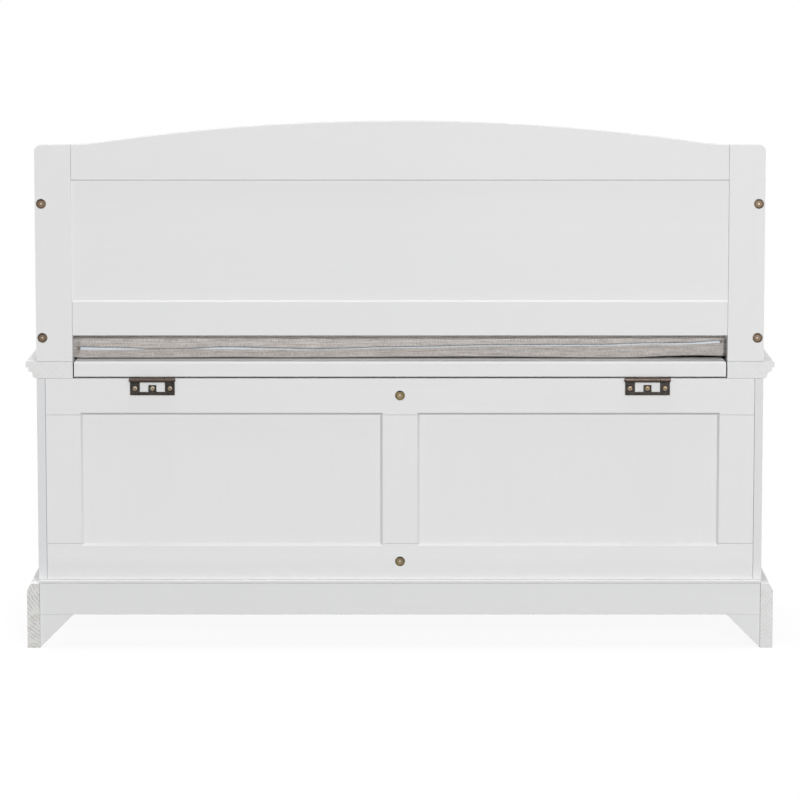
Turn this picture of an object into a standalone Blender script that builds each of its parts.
"""A storage bench: a panelled chest on a skirted base, with a hinged and cushioned seat lid,
two arms and an arched panelled back.

Units are metres.  +Z is up, the front faces -Y, left is -X, and the origin is on the floor
below the middle of the bench.
"""

import math

import bmesh
import bpy
from mathutils import Matrix, Vector

for old in list(bpy.data.objects):
    bpy.data.objects.remove(old, do_unlink=True)

# Overall sizes
WIDTH = 1.080                   # over the side skirts and the seat caps
DEPTH = 0.430                   # over the front skirt and the rear ends of the side skirts
OVERHANG = 0.016                # skirts, caps and lid stand this far outside the chest
FIT = 0.0003                    # gap between pieces that touch
SIDE_JOINT = 0.0004             # gap between the rear frame and the side panels
EASE = 0.0003                   # chamfer on sawn edges
CUT_PAST = 0.004                # cutters run this far past the faces that they open
MITRE_SHIFT = 0.00005           # keeps the faces of two crossing profiles from coinciding

# Base
SKIRT_HEIGHT = 0.0939
SKIRT_THICKNESS = 0.018
SKIRT_CHAMFER_WIDTH = 0.005
SKIRT_CHAMFER_HEIGHT = 0.010
FOOT_HEIGHT = 0.0485            # from the floor to the edge between the feet
FOOT_LENGTH = 0.050             # of a bracket foot, along the floor
REAR_BOARD_THICKNESS = 0.016
REAR_BOARD_RECESS = 0.003       # from the rear ends of the side skirts
FOOT_BLOCK_RECESS = 0.003       # from the rear ends of the side skirts
FOOT_BLOCK_GAP = 0.0001         # glue line below the rear board

# Chest
FLOOR_PANEL_THICKNESS = 0.0035
FLOOR_PANEL_SEAT = 0.0017       # how far the floor panel rests on the skirts
FLOOR_PANEL_RECESS = 0.002      # from the rear ends of the side skirts
CHEST_HEIGHT = 0.2936           # from the floor panel to the top of the rails
SIDE_THICKNESS = 0.012
FRAME_THICKNESS = 0.020
STILE_WIDTH = 0.0532
CENTRE_STILE_WIDTH = 0.0565
TOP_RAIL_HEIGHT = 0.053
BOTTOM_RAIL_HEIGHT = 0.0525
PANEL_THICKNESS = 0.005
PANEL_RECESS = 0.0040           # from the outer faces of rails and stiles
REBATE = 0.006                  # how far a panel reaches behind its rails and stiles
OPENING_CHAMFER = 0.0032        # around the panels, on the outer edges of rails and stiles
DIVIDER_THICKNESS = 0.016

# Seat
CAP_WIDTH = 0.068
LID_THICKNESS = 0.022
LID_SIDE_GAP = 0.002            # between the lid and each cap
LID_ROUND = 0.003               # rounding of the lid's upper rear and end edges
LIP_HEIGHT = 0.0085             # the seat's moulded edge: a lip, a fillet, a cove and a bead
LIP_STEP = 0.004
LIP_ROUND = 0.003
FILLET_HEIGHT = 0.006
FILLET_STEP = 0.0014

# Cushion
CUSHION_SIDE_GAP = 0.018        # to each arm
CUSHION_REAR_GAP = 0.003        # to the back
CUSHION_FRONT_INSET = 0.006     # behind the lid's front edge
CUSHION_BORDER = 0.042          # height of the side band
CUSHION_CROWN = 0.009           # rise of the top over its border
CUSHION_DRAW = 0.006            # how far the sides draw in between the corners
CUSHION_BELLY = 0.004           # how far the side band swells at half height

# Back
BACK_THICKNESS = 0.020
BACK_STILE_WIDTH = 0.052
BACK_STILE_HEIGHT = 0.312
BACK_STILE_ROUND = 0.009        # outer upper corner
BACK_TOP_RAIL_HEIGHT = 0.0514   # at its ends
BACK_LOW_RAIL_HEIGHT = 0.0508
BACK_LOW_RAIL_LIFT = 0.0375     # from the foot of the stiles
BACK_PANEL_RECESS = 0.0028      # from the rear face of its rails and stiles
BACK_CHAMFER = 0.0020           # above and below the back's panel, on the rear edges of the rails
BACK_STILE_CHAMFER = 0.0008     # beside it, on the rear edges of the stiles
ARCH_RISE = 0.0340              # from the ends of the top rail to its crown
ARCH_SWEEP = 0.280              # radius of the reverse curve at each end of the arch

# Arms
ARM_THICKNESS = 0.018
ARM_REAR_HEIGHT = 0.245
ARM_FRONT_HEIGHT = 0.165
ARM_FRONT_SETBACK = 0.020       # behind the chest's front
ARM_FRONT_ROUND = 0.045
ARM_REAR_LEVEL = 0.050          # level stretch at the back
ARM_HAND_LEVEL = 0.120          # level stretch under the hand
ARM_EASE = 0.003

# Hinges: a notched rear leaf, with a smaller lid leaf that nests in it when folded
HINGE_INSET = 0.113             # from each end of the lid to the middle of its hinge
LEAF_THICKNESS = 0.0016
LEAF_CLEARANCE = 0.0007         # from the lid leaf to the rear rail below it
LEAF_WIDTH = 0.0644
LEAF_DROP = 0.0225              # from the pin to the rear leaf's lower edge
LEAF_BAR = 0.0046               # lower bar of the rear leaf
LEAF_GAP = 0.0004               # between nested leaves and between knuckles
WING_WIDTH = 0.014
TAB_WIDTH = 0.0114
TAB_HEIGHT = 0.010
KNUCKLE_RADIUS = 0.0033
KNUCKLE_LAP = 0.001             # how deep a leaf runs into its knuckle
PIN_RADIUS = 0.0015
PIN_HEAD_RADIUS = 0.0026
PIN_HEAD_LENGTH = 0.0011

# Fasteners
SCREW_LENGTH = 0.014
SCREW_RADIUS = 0.0015
SCREW_HEAD_RADIUS = 0.0034
SCREW_HEAD_DEPTH = 0.0015
SCREW_DOME = 0.0003
SCREW_POINT = 0.003
BOLT_LENGTH = 0.045
BOLT_RADIUS = 0.003
BOLT_HEAD_RADIUS = 0.007
BOLT_HEAD_HEIGHT = 0.0025
BOLT_SINK = 0.0016              # head below the face of the wood
BOLT_CHAMFER = 0.0005
BOLT_KEY_WIDTH = 0.004          # across the flats of the socket
BOLT_KEY_DEPTH = 0.0018
ARM_BOLT_LOW = 0.034            # above the foot of the arm
ARM_BOLT_HIGH = 0.0175          # below the top of the arm's rear edge
CENTRE_BOLT_HIGH = 0.0248       # below the top of the rear rail

# Smoothness of round shapes
ROUND_SIDES = 16
SCREW_SIDES = 12
HEX_SIDES = 6
ARC_STEPS = 6
ARCH_STEPS = 14
CUSHION_CELLS = (12, 6, 4)      # cells of the cushion's cage along X, Y and Z
SMOOTH_ANGLE = math.radians(35)
CORNER_ANGLE = math.radians(40)
FLAT_ANGLE = math.radians(0.05)
WELD = 0.00001

# Places that follow from the sizes
HALF_WIDTH = WIDTH / 2
HALF_DEPTH = DEPTH / 2
CHEST_X = HALF_WIDTH - OVERHANG
CHEST_Y = HALF_DEPTH - OVERHANG
SKIRT_INNER_X = HALF_WIDTH - SKIRT_THICKNESS
SKIRT_INNER_Y = HALF_DEPTH - SKIRT_THICKNESS
REAR_BOARD_Y = HALF_DEPTH - REAR_BOARD_RECESS
FLOOR_Z = SKIRT_HEIGHT + FIT
CHEST_FOOT = FLOOR_Z + FLOOR_PANEL_THICKNESS + FIT
CHEST_TOP = CHEST_FOOT + CHEST_HEIGHT
OPENING_LOW = CHEST_FOOT + BOTTOM_RAIL_HEIGHT
OPENING_HIGH = CHEST_TOP - TOP_RAIL_HEIGHT
FRAME_INNER_Y = CHEST_Y - FRAME_THICKNESS
PANEL_OUTER_Y = CHEST_Y - PANEL_RECESS
CAP_FOOT = CHEST_TOP + FIT
CAP_INNER_X = HALF_WIDTH - CAP_WIDTH
LID_FOOT = CHEST_TOP + LEAF_CLEARANCE + LEAF_THICKNESS + FIT
SEAT_TOP = LID_FOOT + LID_THICKNESS
LID_HALF = CAP_INNER_X - LID_SIDE_GAP
BACK_FOOT = SEAT_TOP + FIT
BACK_FRONT_Y = CHEST_Y - BACK_THICKNESS
BACK_PANEL_Y = CHEST_Y - BACK_PANEL_RECESS
BACK_INNER_X = CHEST_X - BACK_STILE_WIDTH
BACK_TOP = BACK_FOOT + BACK_STILE_HEIGHT
BACK_LOW_RAIL_Z = BACK_FOOT + BACK_LOW_RAIL_LIFT
BACK_OPENING_LOW = BACK_LOW_RAIL_Z + BACK_LOW_RAIL_HEIGHT
BACK_OPENING_HIGH = BACK_TOP - BACK_TOP_RAIL_HEIGHT
ARM_X = CHEST_X - ARM_THICKNESS / 2
ARM_REAR_Y = BACK_FRONT_Y - FIT
HINGE_X = LID_HALF - HINGE_INSET
HINGE_Y = CHEST_Y + FIT + LEAF_THICKNESS - KNUCKLE_LAP + KNUCKLE_RADIUS
HINGE_Z = LID_FOOT - FIT - LEAF_THICKNESS + KNUCKLE_LAP - KNUCKLE_RADIUS
LEAF_FACE = KNUCKLE_RADIUS - KNUCKLE_LAP                # from the pin to a leaf's near face
LEAF_SCREW_X = (LEAF_WIDTH - WING_WIDTH) / 2
LEAF_SCREW_DROP = LEAF_DROP - LEAF_BAR - TAB_HEIGHT / 2
LID_LEAF_HALF = LEAF_WIDTH / 2 - WING_WIDTH - LEAF_GAP
LID_LEAF_REACH = LEAF_DROP - LEAF_BAR - LEAF_GAP
LID_NOTCH_HALF = TAB_WIDTH / 2 + LEAF_GAP
LID_NOTCH_END = LEAF_DROP - LEAF_BAR - TAB_HEIGHT - LEAF_GAP
LID_SCREW_X = (LID_LEAF_HALF + LID_NOTCH_HALF) / 2
LID_SCREW_REACH = (KNUCKLE_RADIUS + LID_LEAF_REACH) / 2
BOLT_Y = CHEST_Y - BOLT_SINK

SIDES = (("left", -1), ("right", 1))

# Turns that stand a flat drawing up, and that lay a turned piece along an axis
PLAN = Matrix.Identity(4)
ACROSS = Matrix.Rotation(math.pi / 2, 4, "X")                               # drawn on X and Z
DEEP = Matrix(((0, 0, 1, 0), (1, 0, 0, 0), (0, 1, 0, 0), (0, 0, 0, 1)))     # drawn on Y and Z
ALONG_X = Matrix.Rotation(math.pi / 2, 4, "Y")
HEAD_TO_REAR = Matrix.Rotation(-math.pi / 2, 4, "X")
HEAD_DOWN = Matrix.Rotation(math.pi, 4, "X")

bench = bpy.data.collections.new("storage_bench")
cutters = bpy.data.collections.new("cutters")
bpy.context.scene.collection.children.link(bench)
bpy.context.scene.collection.children.link(cutters)


def finish(name, colour, roughness, metallic):
    """A plain material."""
    material = bpy.data.materials.new(name)
    material.use_nodes = True
    shader = material.node_tree.nodes["Principled BSDF"]
    shader.inputs["Base Color"].default_value = (*colour, 1.0)
    shader.inputs["Roughness"].default_value = roughness
    shader.inputs["Metallic"].default_value = metallic
    return material


WHITE_PAINT = finish("white_paint", (0.78, 0.78, 0.77), 0.45, 0.0)
GREY_LINEN = finish("grey_linen", (0.44, 0.40, 0.37), 0.90, 0.0)
DARK_BRONZE = finish("dark_bronze", (0.11, 0.09, 0.075), 0.42, 0.9)
WORN_BRASS = finish("worn_brass", (0.42, 0.33, 0.20), 0.38, 1.0)


def put(name, mesh, matrix, material):
    """A piece of the bench, or a cutter where there is no material."""
    item = bpy.data.objects.new(name, mesh)
    item.matrix_world = matrix
    if material is None:
        cutters.objects.link(item)
        item.hide_render = True
        item.display_type = "WIRE"
        return item
    bench.objects.link(item)
    if not mesh.materials:
        mesh.materials.append(material)
    return item


def mesh_of(name, shape):
    """The mesh of a bmesh shape, which is freed."""
    mesh = bpy.data.meshes.new(name)
    shape.to_mesh(mesh)
    shape.free()
    return mesh


def realized(item):
    """The evaluated mesh of a drawing or a blank, closed; the object itself goes."""
    view = bpy.context.evaluated_depsgraph_get()
    mesh = bpy.data.meshes.new_from_object(item.evaluated_get(view))
    shape = bmesh.new()
    shape.from_mesh(mesh)
    bmesh.ops.remove_doubles(shape, verts=shape.verts, dist=WELD)
    bmesh.ops.dissolve_limit(shape, angle_limit=FLAT_ANGLE, verts=shape.verts, edges=shape.edges)
    bmesh.ops.recalc_face_normals(shape, faces=shape.faces)
    shape.to_mesh(mesh)
    shape.free()
    bpy.data.objects.remove(item, do_unlink=True)
    return mesh


def ease_edges(item, width):
    """Chamfer the sharp edges of a piece."""
    bevel = item.modifiers.new("eased edges", "BEVEL")
    bevel.width = width
    bevel.segments = 1
    bevel.limit_method = "ANGLE"
    bevel.angle_limit = CORNER_ANGLE


def combine(item, operation, *others):
    """Cut other solids from a piece, keep what they share, or add them to it."""
    for other in others:
        change = item.modifiers.new(operation.lower(), "BOOLEAN")
        change.operation = operation
        change.solver = "EXACT"
        change.object = other


def board(name, low, high, material=WHITE_PAINT):
    """A straight board between two opposite corners."""
    low = Vector(low)
    high = Vector(high)
    shape = bmesh.new()
    bmesh.ops.create_cube(shape, size=1.0, matrix=Matrix.Diagonal((*(high - low), 1.0)))
    item = put(name, mesh_of(name, shape), Matrix.Translation((low + high) / 2), material)
    if material is not None:
        ease_edges(item, EASE)
    return item


def prism(name, outline, thickness, turn, centre, material=WHITE_PAINT):
    """A flat outline, extruded to both sides of its centre."""
    curve = bpy.data.curves.new(name, "CURVE")
    curve.dimensions = "2D"
    curve.fill_mode = "BOTH"
    curve.extrude = thickness / 2
    line = curve.splines.new("POLY")
    line.points.add(len(outline) - 1)
    for knot, (across, up) in zip(line.points, outline):
        knot.co = (across, up, 0.0, 1.0)
    line.use_cyclic_u = True
    drawing = bpy.data.objects.new(name, curve)
    cutters.objects.link(drawing)
    return put(name, realized(drawing), Matrix.Translation(centre) @ turn, material)


def turned(name, profile, sides):
    """A mesh turned about Z from (radius, height) points that run down its outer side."""
    shape = bmesh.new()
    knots = [shape.verts.new((radius, 0.0, height)) for radius, height in profile]
    for upper, lower in zip(knots, knots[1:]):
        shape.edges.new((upper, lower))
    blank = put(name, mesh_of(name, shape), PLAN, None)
    screw = blank.modifiers.new("turned", "SCREW")
    screw.steps = sides
    screw.render_steps = sides
    screw.use_merge_vertices = True
    screw.merge_threshold = WELD
    solid = realized(blank)
    solid.shade_smooth()
    solid.set_sharp_from_angle(angle=SMOOTH_ANGLE)
    return solid


def rod(name, radius, length, centre):
    """A round blank or cutter, lying along X."""
    shape = bmesh.new()
    bmesh.ops.create_cone(shape, cap_ends=True, segments=ROUND_SIDES, radius1=radius,
                          radius2=radius, depth=length, matrix=ALONG_X)
    return put(name, mesh_of(name, shape), Matrix.Translation(centre), None)


def arc(centre, radius, start, end, steps=ARC_STEPS):
    """Points of an arc, its angles in degrees, both ends among them."""
    points = []
    for step in range(steps + 1):
        angle = math.radians(start + (end - start) * step / steps)
        points.append((centre[0] + radius * math.cos(angle), centre[1] + radius * math.sin(angle)))
    return points


def flipped(outline, side):
    """An outline, mirrored where the side is negative."""
    return [(side * across, up) for across, up in outline]


# Fasteners

def screw_profile():
    """A countersunk wood screw, head up."""
    return [(0.0, SCREW_DOME), (SCREW_HEAD_RADIUS / 2, SCREW_DOME * 3 / 4),
            (SCREW_HEAD_RADIUS, 0.0), (SCREW_RADIUS, -SCREW_HEAD_DEPTH),
            (SCREW_RADIUS, SCREW_POINT - SCREW_LENGTH), (0.0, -SCREW_LENGTH)]


def screw_hole_profile():
    """The hole that takes a screw."""
    head = SCREW_HEAD_RADIUS + FIT
    shank = SCREW_RADIUS + FIT
    return [(0.0, CUT_PAST), (head, CUT_PAST), (head, 0.0), (shank, -SCREW_HEAD_DEPTH),
            (shank, -SCREW_LENGTH - FIT), (0.0, -SCREW_LENGTH - FIT)]


def bolt_profile():
    """A flat-headed furniture bolt, head up."""
    return [(0.0, 0.0), (BOLT_HEAD_RADIUS - BOLT_CHAMFER, 0.0), (BOLT_HEAD_RADIUS, -BOLT_CHAMFER),
            (BOLT_HEAD_RADIUS, -BOLT_HEAD_HEIGHT), (BOLT_RADIUS, -BOLT_HEAD_HEIGHT),
            (BOLT_RADIUS, -BOLT_LENGTH), (0.0, -BOLT_LENGTH)]


def bolt_hole_profile():
    """The counterbore and the shank's hole for a bolt."""
    head = BOLT_HEAD_RADIUS + FIT
    shank = BOLT_RADIUS + FIT
    seat = -BOLT_HEAD_HEIGHT - FIT
    return [(0.0, CUT_PAST), (head, CUT_PAST), (head, seat), (shank, seat),
            (shank, -BOLT_LENGTH - FIT), (0.0, -BOLT_LENGTH - FIT)]


def bolt_mesh():
    """The bolt with its hexagonal socket."""
    blank = put("bolt_blank", turned("bolt", bolt_profile(), ROUND_SIDES), PLAN, None)
    corner = BOLT_KEY_WIDTH / 2 / math.cos(math.pi / HEX_SIDES)
    key = bmesh.new()
    bmesh.ops.create_cone(key, cap_ends=True, segments=HEX_SIDES, radius1=corner,
                          radius2=corner, depth=BOLT_KEY_DEPTH * 2)
    combine(blank, "DIFFERENCE", put("bolt_key", mesh_of("bolt_key", key), PLAN, None))
    solid = realized(blank)
    solid.set_sharp_from_angle(angle=SMOOTH_ANGLE)
    return solid


SCREW = turned("screw", screw_profile(), SCREW_SIDES)
SCREW_HOLE = turned("screw_hole", screw_hole_profile(), SCREW_SIDES)
BOLT = bolt_mesh()
BOLT_HOLE = turned("bolt_hole", bolt_hole_profile(), ROUND_SIDES)


def drive(name, fastener, hole, matrix, material, *woods):
    """A screw or bolt, with its hole in each piece that it goes into."""
    cutter = put(name + "_hole", hole, matrix, None)
    for wood in woods:
        combine(wood, "DIFFERENCE", cutter)
    return put(name, fastener, matrix, material)


def drive_bolt(name, place, *woods):
    """A bolt, driven from behind."""
    matrix = Matrix.Translation(place) @ HEAD_TO_REAR
    return drive(name, BOLT, BOLT_HOLE, matrix, DARK_BRONZE, *woods)


# Base

def skirt_chamfer(name, reach, side, turn, length):
    """Cutter for a skirt's upper outer edge, drawn on its outward and upward directions."""
    wide = SKIRT_CHAMFER_WIDTH
    high = SKIRT_CHAMFER_HEIGHT
    outline = [(reach + wide, SKIRT_HEIGHT - 2 * high), (reach + wide, SKIRT_HEIGHT + high),
               (reach - 2 * wide, SKIRT_HEIGHT + high)]
    return prism(name, flipped(outline, side), length, turn, (0, 0, 0), None)


def foot_arch(name, half_span, turn, centre):
    """Cutter for the space between two bracket feet, which slope at 45 degrees."""
    low = half_span - FOOT_LENGTH
    high = low - FOOT_HEIGHT
    outline = [(-low - CUT_PAST, -CUT_PAST), (low + CUT_PAST, -CUT_PAST),
               (high, FOOT_HEIGHT), (-high, FOOT_HEIGHT)]
    return prism(name, outline, SKIRT_THICKNESS + 2 * CUT_PAST, turn, centre, None)


def front_skirt():
    """The front plinth board, mitred at both ends."""
    outer = HALF_WIDTH - FIT
    inner = SKIRT_INNER_X - FIT
    plan = [(-outer, -HALF_DEPTH), (outer, -HALF_DEPTH),
            (inner, -SKIRT_INNER_Y), (-inner, -SKIRT_INNER_Y)]
    skirt = prism("base_skirt_front", plan, SKIRT_HEIGHT, PLAN, (0, 0, SKIRT_HEIGHT / 2))
    middle = SKIRT_THICKNESS / 2 - HALF_DEPTH
    combine(skirt, "DIFFERENCE",
            skirt_chamfer("front_chamfer", HALF_DEPTH, -1, DEEP, WIDTH + 2 * CUT_PAST),
            foot_arch("front_arch", HALF_WIDTH, ACROSS, (0, middle, 0)))


def side_skirt(name, side):
    """A side plinth board: mitred in front, with its end grain showing behind."""
    plan = [(HALF_WIDTH, FIT - HALF_DEPTH), (HALF_WIDTH, HALF_DEPTH),
            (SKIRT_INNER_X, HALF_DEPTH), (SKIRT_INNER_X, FIT - SKIRT_INNER_Y)]
    skirt = prism("base_skirt_" + name, flipped(plan, side), SKIRT_HEIGHT, PLAN,
                  (0, 0, SKIRT_HEIGHT / 2))
    middle = side * (HALF_WIDTH - SKIRT_THICKNESS / 2)
    combine(skirt, "DIFFERENCE",
            skirt_chamfer(name + "_chamfer", HALF_WIDTH, side, ACROSS, DEPTH + 2 * CUT_PAST),
            foot_arch(name + "_arch", HALF_DEPTH, DEEP, (middle, 0, 0)))


def rear_board():
    """The rear plinth board between the side skirts."""
    half = SKIRT_INNER_X - FIT
    board("base_rear_board", (-half, REAR_BOARD_Y - REAR_BOARD_THICKNESS, FOOT_HEIGHT),
          (half, REAR_BOARD_Y, SKIRT_HEIGHT))


def rear_foot_block(name, side):
    """A triangular block in the corner below the rear board."""
    outer = SKIRT_INNER_X - FIT
    top = FOOT_HEIGHT - FOOT_BLOCK_GAP
    outline = [(outer, 0.0), (outer, top), (outer - top, top)]
    inner_y = REAR_BOARD_Y - REAR_BOARD_THICKNESS
    outer_y = HALF_DEPTH - FOOT_BLOCK_RECESS
    prism("rear_foot_block_" + name, flipped(outline, side), outer_y - inner_y, ACROSS,
          (0, (inner_y + outer_y) / 2, 0))


# Chest

def floor_panel():
    """The thin bottom of the chest, which lies on the skirts and the rear board."""
    half = SKIRT_INNER_X + FLOOR_PANEL_SEAT
    board("floor_panel", (-half, -SKIRT_INNER_Y - FLOOR_PANEL_SEAT, FLOOR_Z),
          (half, HALF_DEPTH - FLOOR_PANEL_RECESS, FLOOR_Z + FLOOR_PANEL_THICKNESS))


def side_panel(name, side):
    """An end wall, between the front frame and the rear face of the chest."""
    inner, outer = sorted((side * (CHEST_X - SIDE_THICKNESS), side * CHEST_X))
    board("side_panel_" + name, (inner, -FRAME_INNER_Y + FIT, CHEST_FOOT),
          (outer, CHEST_Y, CHEST_TOP))


def opening_flare(name, across, up, chamfer, face):
    """Cutter for the chamfer around a panel's opening, a block that widens outwards."""
    shape = bmesh.new()
    bmesh.ops.create_cube(shape, size=1.0)
    for knot in shape.verts:
        outside = knot.co.y * face > 0
        grow = 2 * chamfer if outside else -chamfer
        depth = CHEST_Y + (chamfer if outside else -2 * chamfer)
        x = across[1] + grow if knot.co.x > 0 else across[0] - grow
        z = up[1] + grow if knot.co.z > 0 else up[0] - grow
        knot.co = (x, face * depth, z)
    return put(name, mesh_of(name, shape), PLAN, None)


def framed_wall(prefix, half, face):
    """Rails, stiles between them and two panels; face is -1 in front and 1 behind."""
    near, far = sorted((face * FRAME_INNER_Y, face * CHEST_Y))
    stile_foot = OPENING_LOW + FIT
    stile_head = OPENING_HIGH - FIT
    centre = CENTRE_STILE_WIDTH / 2
    pieces = {
        "rail_top": board(prefix + "_rail_top", (-half, near, OPENING_HIGH), (half, far, CHEST_TOP)),
        "rail_bottom": board(prefix + "_rail_bottom", (-half, near, CHEST_FOOT),
                             (half, far, OPENING_LOW)),
        "stile_centre": board(prefix + "_stile_centre", (-centre, near, stile_foot),
                              (centre, far, stile_head)),
    }
    for name, side in SIDES:
        inner, outer = sorted((side * (half - STILE_WIDTH), side * half))
        pieces["stile_" + name] = board(prefix + "_stile_" + name, (inner, near, stile_foot),
                                        (outer, far, stile_head))
    for name, side in SIDES:
        left, right = sorted((side * (centre - REBATE), side * (half - STILE_WIDTH + REBATE)))
        low = OPENING_LOW - REBATE
        high = OPENING_HIGH + REBATE
        back, front = sorted((face * (PANEL_OUTER_Y - PANEL_THICKNESS), face * PANEL_OUTER_Y))
        board(prefix + "_panel_" + name, (left, back, low), (right, front, high))
        back, front = sorted((face * (FRAME_INNER_Y - CUT_PAST), face * (PANEL_OUTER_Y + FIT)))
        rebate = board(prefix + "_rebate_" + name, (left - FIT, back, low - FIT),
                       (right + FIT, front, high + FIT), None)
        across = sorted((side * centre, side * (half - STILE_WIDTH)))
        flare = opening_flare(prefix + "_flare_" + name, across, (OPENING_LOW, OPENING_HIGH),
                              OPENING_CHAMFER, face)
        for piece in ("rail_top", "rail_bottom", "stile_centre", "stile_" + name):
            combine(pieces[piece], "DIFFERENCE", rebate, flare)
    return pieces


def divider():
    """The middle wall, which also carries the shut lid."""
    half = DIVIDER_THICKNESS / 2
    reach = FRAME_INNER_Y - FIT
    return board("divider_panel", (-half, -reach, CHEST_FOOT), (half, reach, LID_FOOT - FIT))


# Seat

def moulding(reach, foot):
    """The seat's edge from its top down to a foot, as (outward, upward) points."""
    fillet = reach - LIP_STEP
    fillet_foot = SEAT_TOP - LIP_HEIGHT - FILLET_HEIGHT
    radius = (fillet_foot - CAP_FOOT) / 2
    cove = fillet - FILLET_STEP
    low = math.degrees(math.asin(1 - (foot - CAP_FOOT) / radius))
    return (arc((reach - LIP_ROUND, SEAT_TOP - LIP_ROUND), LIP_ROUND, 90, 0)
            + [(reach, SEAT_TOP - LIP_HEIGHT), (fillet, SEAT_TOP - LIP_HEIGHT), (fillet, fillet_foot)]
            + arc((cove, CAP_FOOT + radius), radius, 90, 180)[:-1]
            + arc((cove - 2 * radius, CAP_FOOT + radius), radius, 0, -low))


def seat_cap(name, side):
    """A fixed end of the seat, moulded on its outer and front edges."""
    outline = [(CAP_INNER_X, CAP_FOOT), (CAP_INNER_X, SEAT_TOP)] + moulding(HALF_WIDTH, CAP_FOOT)
    front = -HALF_DEPTH - CUT_PAST
    cap = prism("seat_cap_" + name, flipped(outline, side), CHEST_Y - front, ACROSS,
                (0, (CHEST_Y + front) / 2, 0))
    rear = -CHEST_Y - CUT_PAST
    outline = [(rear, CAP_FOOT), (rear, SEAT_TOP)] + moulding(HALF_DEPTH, CAP_FOOT)
    combine(cap, "INTERSECT", prism(name + "_cap_front", flipped(outline, -1), 2 * WIDTH, DEEP,
                                    (0, 0, MITRE_SHIFT), None))
    return cap


def lid():
    """The hinged middle of the seat, moulded in front and rounded behind and at its ends."""
    outline = ([(-CHEST_Y, LID_FOOT)]
               + arc((LID_ROUND - CHEST_Y, SEAT_TOP - LID_ROUND), LID_ROUND, 180, 90)
               + moulding(HALF_DEPTH, LID_FOOT))
    top = prism("lid", flipped(outline, -1), 2 * LID_HALF + 2 * CUT_PAST, DEEP, (0, 0, 0))
    round_x = LID_HALF - LID_ROUND
    round_z = SEAT_TOP - LID_ROUND
    ends = ([(-LID_HALF, LID_FOOT), (LID_HALF, LID_FOOT)]
            + arc((round_x, round_z), LID_ROUND, 0, 90)
            + arc((-round_x, round_z), LID_ROUND, 90, 180))
    combine(top, "INTERSECT", prism("lid_ends", ends, 2 * DEPTH, ACROSS, (0, 0, MITRE_SHIFT), None))
    return top


def cushion():
    """A boxed pad: crowned on top, flat below, its sides drawn in between the corners."""
    half_x = ARM_X - ARM_THICKNESS / 2 - CUSHION_SIDE_GAP - CUSHION_BELLY
    rear = BACK_FRONT_Y - CUSHION_REAR_GAP - CUSHION_BELLY
    front = CUSHION_FRONT_INSET + CUSHION_BELLY - HALF_DEPTH
    half_y = (rear - front) / 2
    shape = bmesh.new()
    bmesh.ops.create_cube(shape, size=2.0)
    for axis, cells in enumerate(CUSHION_CELLS):
        edges = [edge for edge in shape.edges
                 if abs(edge.verts[0].co[axis] - edge.verts[1].co[axis]) > WELD]
        bmesh.ops.subdivide_edges(shape, edges=edges, cuts=cells - 1, use_grid_fill=True)
    for knot in shape.verts:
        across = math.sin(knot.co.x * math.pi / 2)
        deep = math.sin(knot.co.y * math.pi / 2)
        band = 1 - knot.co.z ** 2
        fall = (1 - across ** 2) * (1 - deep ** 2)
        reach_x = half_x - CUSHION_DRAW * (1 - deep ** 2) + CUSHION_BELLY * band
        reach_y = half_y - CUSHION_DRAW * (1 - across ** 2) + CUSHION_BELLY * band
        height = (CUSHION_BORDER + CUSHION_CROWN * math.sqrt(fall)) * (1 + knot.co.z) / 2
        knot.co = (across * reach_x, deep * reach_y, height)
    mesh = mesh_of("cushion", shape)
    mesh.shade_smooth()
    pad = put("cushion", mesh, Matrix.Translation((0, (front + rear) / 2, SEAT_TOP + FIT)),
              GREY_LINEN)
    smooth = pad.modifiers.new("soft", "SUBSURF")
    smooth.levels = 1
    smooth.render_levels = 1
    return pad


# Back and arms

def back_stile(name, side):
    """An upright of the back, its outer upper corner rounded."""
    corner = (CHEST_X - BACK_STILE_ROUND, BACK_TOP - BACK_STILE_ROUND)
    outline = ([(BACK_INNER_X, BACK_TOP), (BACK_INNER_X, BACK_FOOT), (CHEST_X, BACK_FOOT)]
               + arc(corner, BACK_STILE_ROUND, 0, 90))
    stile = prism("back_stile_" + name, flipped(outline, side), BACK_THICKNESS, ACROSS,
                  (0, CHEST_Y - BACK_THICKNESS / 2, 0))
    ease_edges(stile, EASE)
    return stile


def back_top_rail():
    """The arched rail: one wide arc, swept level by a small reverse arc at each end."""
    half = BACK_INNER_X - FIT
    both = (half ** 2 + ARCH_RISE ** 2) / (2 * ARCH_RISE)
    wide = both - ARCH_SWEEP
    tilt = math.degrees(math.asin(half / both))
    outline = ([(-half, BACK_OPENING_HIGH), (half, BACK_OPENING_HIGH)]
               + arc((half, BACK_TOP + ARCH_SWEEP), ARCH_SWEEP, -90, -90 - tilt)[:-1]
               + arc((0, BACK_TOP + ARCH_RISE - wide), wide, 90 - tilt, 90 + tilt, ARCH_STEPS)
               + arc((-half, BACK_TOP + ARCH_SWEEP), ARCH_SWEEP, tilt - 90, -90)[1:])
    rail = prism("back_rail_top", outline, BACK_THICKNESS, ACROSS,
                 (0, CHEST_Y - BACK_THICKNESS / 2, 0))
    ease_edges(rail, EASE)
    return rail


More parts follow.
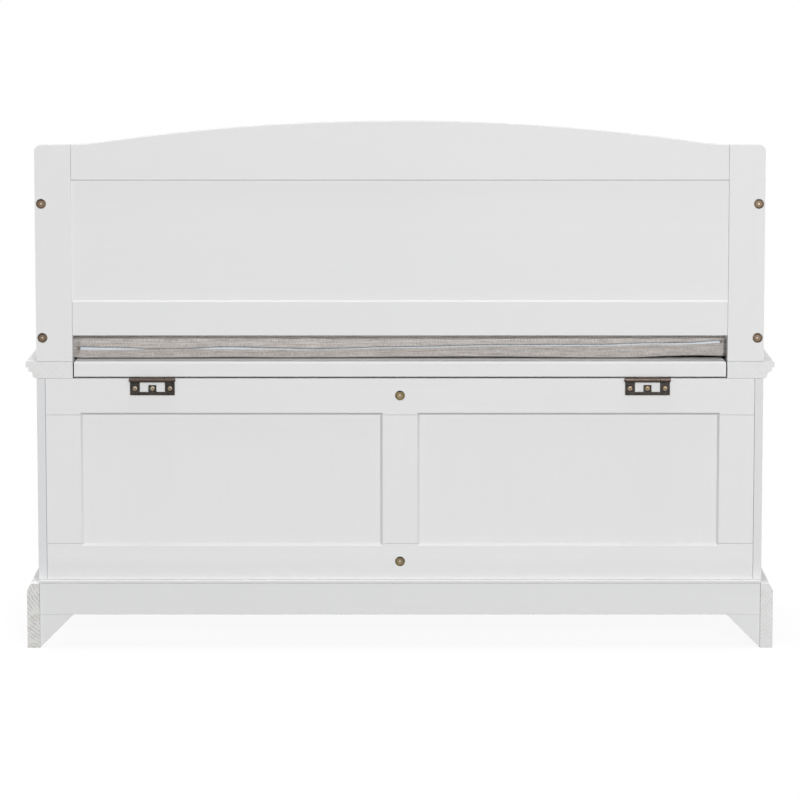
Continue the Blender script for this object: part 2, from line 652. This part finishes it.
def back():
    """Stiles, rails and the panel behind them.  Gives the stiles by name."""
    half = BACK_INNER_X - FIT
    stiles = {name: back_stile(name, side) for name, side in SIDES}
    low_rail = board("back_rail_bottom", (-half, BACK_FRONT_Y, BACK_LOW_RAIL_Z),
                     (half, CHEST_Y, BACK_OPENING_LOW))
    reach = BACK_INNER_X + REBATE
    low = BACK_OPENING_LOW - REBATE
    high = BACK_OPENING_HIGH + REBATE
    board("back_panel", (-reach, BACK_PANEL_Y - PANEL_THICKNESS, low), (reach, BACK_PANEL_Y, high))
    rebate = board("back_rebate", (-reach - FIT, BACK_FRONT_Y - CUT_PAST, low - FIT),
                   (reach + FIT, BACK_PANEL_Y + FIT, high + FIT), None)
    flared = BACK_INNER_X - BACK_CHAMFER + BACK_STILE_CHAMFER
    flare = opening_flare("back_flare", (-flared, flared), (BACK_OPENING_LOW, BACK_OPENING_HIGH),
                          BACK_CHAMFER, 1)
    for piece in (*stiles.values(), low_rail, back_top_rail()):
        combine(piece, "DIFFERENCE", rebate, flare)
    return stiles


def arm(name, side):
    """An end board that sweeps down from the back to a rounded hand rest."""
    front = ARM_FRONT_SETBACK - CHEST_Y
    hand = front + ARM_FRONT_ROUND + ARM_HAND_LEVEL
    rise = ARM_REAR_Y - ARM_REAR_LEVEL
    outline = [(ARM_REAR_Y, BACK_FOOT + ARM_REAR_HEIGHT), (ARM_REAR_Y, BACK_FOOT), (front, BACK_FOOT)]
    outline += arc((front + ARM_FRONT_ROUND, BACK_FOOT + ARM_FRONT_HEIGHT - ARM_FRONT_ROUND),
                   ARM_FRONT_ROUND, 180, 90)
    for step in range(ARCH_STEPS + 1):
        share = step / ARCH_STEPS
        lift = (ARM_REAR_HEIGHT - ARM_FRONT_HEIGHT) * (3 * share ** 2 - 2 * share ** 3)
        outline.append((hand + (rise - hand) * share, BACK_FOOT + ARM_FRONT_HEIGHT + lift))
    piece = prism("arm_" + name, outline, ARM_THICKNESS, DEEP, (side * ARM_X, 0, 0))
    ease_edges(piece, ARM_EASE)
    return piece


# Hinges

def rear_leaf_mesh():
    """The leaf on the rear rail: two wings with knuckles, a lower bar and a middle tab."""
    half = LEAF_WIDTH / 2
    wing = half - WING_WIDTH
    bar = LEAF_BAR - LEAF_DROP
    tab = TAB_WIDTH / 2
    right = [(tab, bar + TAB_HEIGHT), (tab, bar), (wing, bar), (wing, 0.0), (half, 0.0),
             (half, -LEAF_DROP)]
    outline = right + flipped(right, -1)[::-1]
    leaf = prism("rear_leaf_blank", outline, LEAF_THICKNESS, ACROSS,
                 (0, -LEAF_FACE - LEAF_THICKNESS / 2, 0), None)
    for name, side in SIDES:
        combine(leaf, "UNION", rod("rear_knuckle_" + name, KNUCKLE_RADIUS, WING_WIDTH,
                                   (side * (half + wing) / 2, 0, 0)))
    for across in (-LEAF_SCREW_X, 0.0, LEAF_SCREW_X):
        place = Matrix.Translation((across, -LEAF_FACE, -LEAF_SCREW_DROP)) @ HEAD_TO_REAR
        combine(leaf, "DIFFERENCE", put("rear_leaf_hole", SCREW_HOLE, place, None))
    combine(leaf, "DIFFERENCE", rod("rear_bore", PIN_RADIUS + FIT, LEAF_WIDTH + CUT_PAST, (0, 0, 0)))
    return in_place(leaf)


def lid_leaf_mesh():
    """The leaf below the lid: two lobes round a notch, and the middle knuckle."""
    right = [(LID_NOTCH_HALF, -LID_NOTCH_END), (LID_NOTCH_HALF, -LID_LEAF_REACH),
             (LID_LEAF_HALF, -LID_LEAF_REACH), (LID_LEAF_HALF, 0.0)]
    outline = right + flipped(right, -1)[::-1]
    leaf = prism("lid_leaf_blank", outline, LEAF_THICKNESS, PLAN,
                 (0, 0, LEAF_FACE + LEAF_THICKNESS / 2), None)
    combine(leaf, "UNION", rod("lid_knuckle", KNUCKLE_RADIUS, 2 * LID_LEAF_HALF, (0, 0, 0)))
    for across in (-LID_SCREW_X, LID_SCREW_X):
        place = Matrix.Translation((across, -LID_SCREW_REACH, LEAF_FACE)) @ HEAD_DOWN
        combine(leaf, "DIFFERENCE", put("lid_leaf_hole", SCREW_HOLE, place, None))
    combine(leaf, "DIFFERENCE", rod("lid_bore", PIN_RADIUS + FIT, LEAF_WIDTH + CUT_PAST, (0, 0, 0)))
    return in_place(leaf)


def in_place(blank):
    """The realized mesh of a blank, with the blank's place in the mesh."""
    matrix = blank.matrix_world.copy()
    mesh = realized(blank)
    mesh.transform(matrix)
    return mesh


def pin_profile():
    """A hinge pin with a button at each end, on the pin's own axis."""
    end = LEAF_WIDTH / 2 + FIT
    return [(0.0, end + PIN_HEAD_LENGTH), (PIN_HEAD_RADIUS, end + PIN_HEAD_LENGTH / 2),
            (PIN_HEAD_RADIUS, end), (PIN_RADIUS, end), (PIN_RADIUS, -end),
            (PIN_HEAD_RADIUS, -end), (PIN_HEAD_RADIUS, -end - PIN_HEAD_LENGTH / 2),
            (0.0, -end - PIN_HEAD_LENGTH)]


def hinge(name, side, meshes, rail, top):
    """One hinge with its screws.  Gives the pieces that move with the lid."""
    rear_leaf, lid_leaf, pin = meshes
    place = Matrix.Translation((side * HINGE_X, HINGE_Y, HINGE_Z))
    prefix = "hinge_" + name
    put(prefix + "_rear_leaf", rear_leaf, place, DARK_BRONZE)
    put(prefix + "_pin", pin, place @ ALONG_X, DARK_BRONZE)
    moving = [put(prefix + "_lid_leaf", lid_leaf, place, DARK_BRONZE)]
    rear_screws = (("a", -LEAF_SCREW_X), ("b", 0.0), ("c", LEAF_SCREW_X))
    for mark, across in rear_screws:
        seat = place @ Matrix.Translation((across, -LEAF_FACE, -LEAF_SCREW_DROP)) @ HEAD_TO_REAR
        drive(prefix + "_rear_screw_" + mark, SCREW, SCREW_HOLE, seat, WORN_BRASS, rail)
    for mark, across in (("a", -LID_SCREW_X), ("b", LID_SCREW_X)):
        seat = place @ Matrix.Translation((across, -LID_SCREW_REACH, LEAF_FACE)) @ HEAD_DOWN
        moving.append(drive(prefix + "_lid_screw_" + mark, SCREW, SCREW_HOLE, seat, WORN_BRASS, top))
    return moving


def carrier(name, place, parent=None, parent_place=Vector()):
    """An empty on a joint, which carries the pieces that move there."""
    empty = bpy.data.objects.new(name, None)
    bench.objects.link(empty)
    empty.parent = parent
    empty.location = Vector(place) - parent_place
    return empty


def carry(item, parent, parent_place):
    """Hand a placed piece to its carrier and leave it where it is."""
    item.parent = parent
    item.location = item.location - parent_place


# Assembly

front_skirt()
rear_board()
floor_panel()
for side_name, side_sign in SIDES:
    side_skirt(side_name, side_sign)
    rear_foot_block(side_name, side_sign)
    side_panel(side_name, side_sign)
    seat_cap(side_name, side_sign)
framed_wall("front", CHEST_X, -1)
rear_wall = framed_wall("rear", CHEST_X - SIDE_THICKNESS - SIDE_JOINT, 1)
middle_wall = divider()
drive_bolt("centre_bolt_low", (0, BOLT_Y, (CHEST_FOOT + OPENING_LOW) / 2),
           rear_wall["rail_bottom"], middle_wall)
drive_bolt("centre_bolt_high", (0, BOLT_Y, CHEST_TOP - CENTRE_BOLT_HIGH),
           rear_wall["rail_top"], middle_wall)

back_stiles = back()
for side_name, side_sign in SIDES:
    end_board = arm(side_name, side_sign)
    for level, bolt_z in (("low", BACK_FOOT + ARM_BOLT_LOW),
                          ("high", BACK_FOOT + ARM_REAR_HEIGHT - ARM_BOLT_HIGH)):
        drive_bolt("back_bolt_" + side_name + "_" + level, (side_sign * ARM_X, BOLT_Y, bolt_z),
                   back_stiles[side_name], end_board)

seat_lid = lid()
hinge_place = Vector((0, HINGE_Y, HINGE_Z))
cushion_place = Vector((0, 0, SEAT_TOP + FIT))
lid_axis = carrier("lid_axis", hinge_place)
cushion_seat = carrier("cushion_seat", cushion_place, lid_axis, hinge_place)
hinge_meshes = (rear_leaf_mesh(), lid_leaf_mesh(), turned("hinge_pin", pin_profile(), SCREW_SIDES))
carry(seat_lid, lid_axis, hinge_place)
for side_name, side_sign in SIDES:
    for piece in hinge(side_name, side_sign, hinge_meshes, rear_wall["rail_top"], seat_lid):
        carry(piece, lid_axis, hinge_place)
carry(cushion(), cushion_seat, cushion_place)
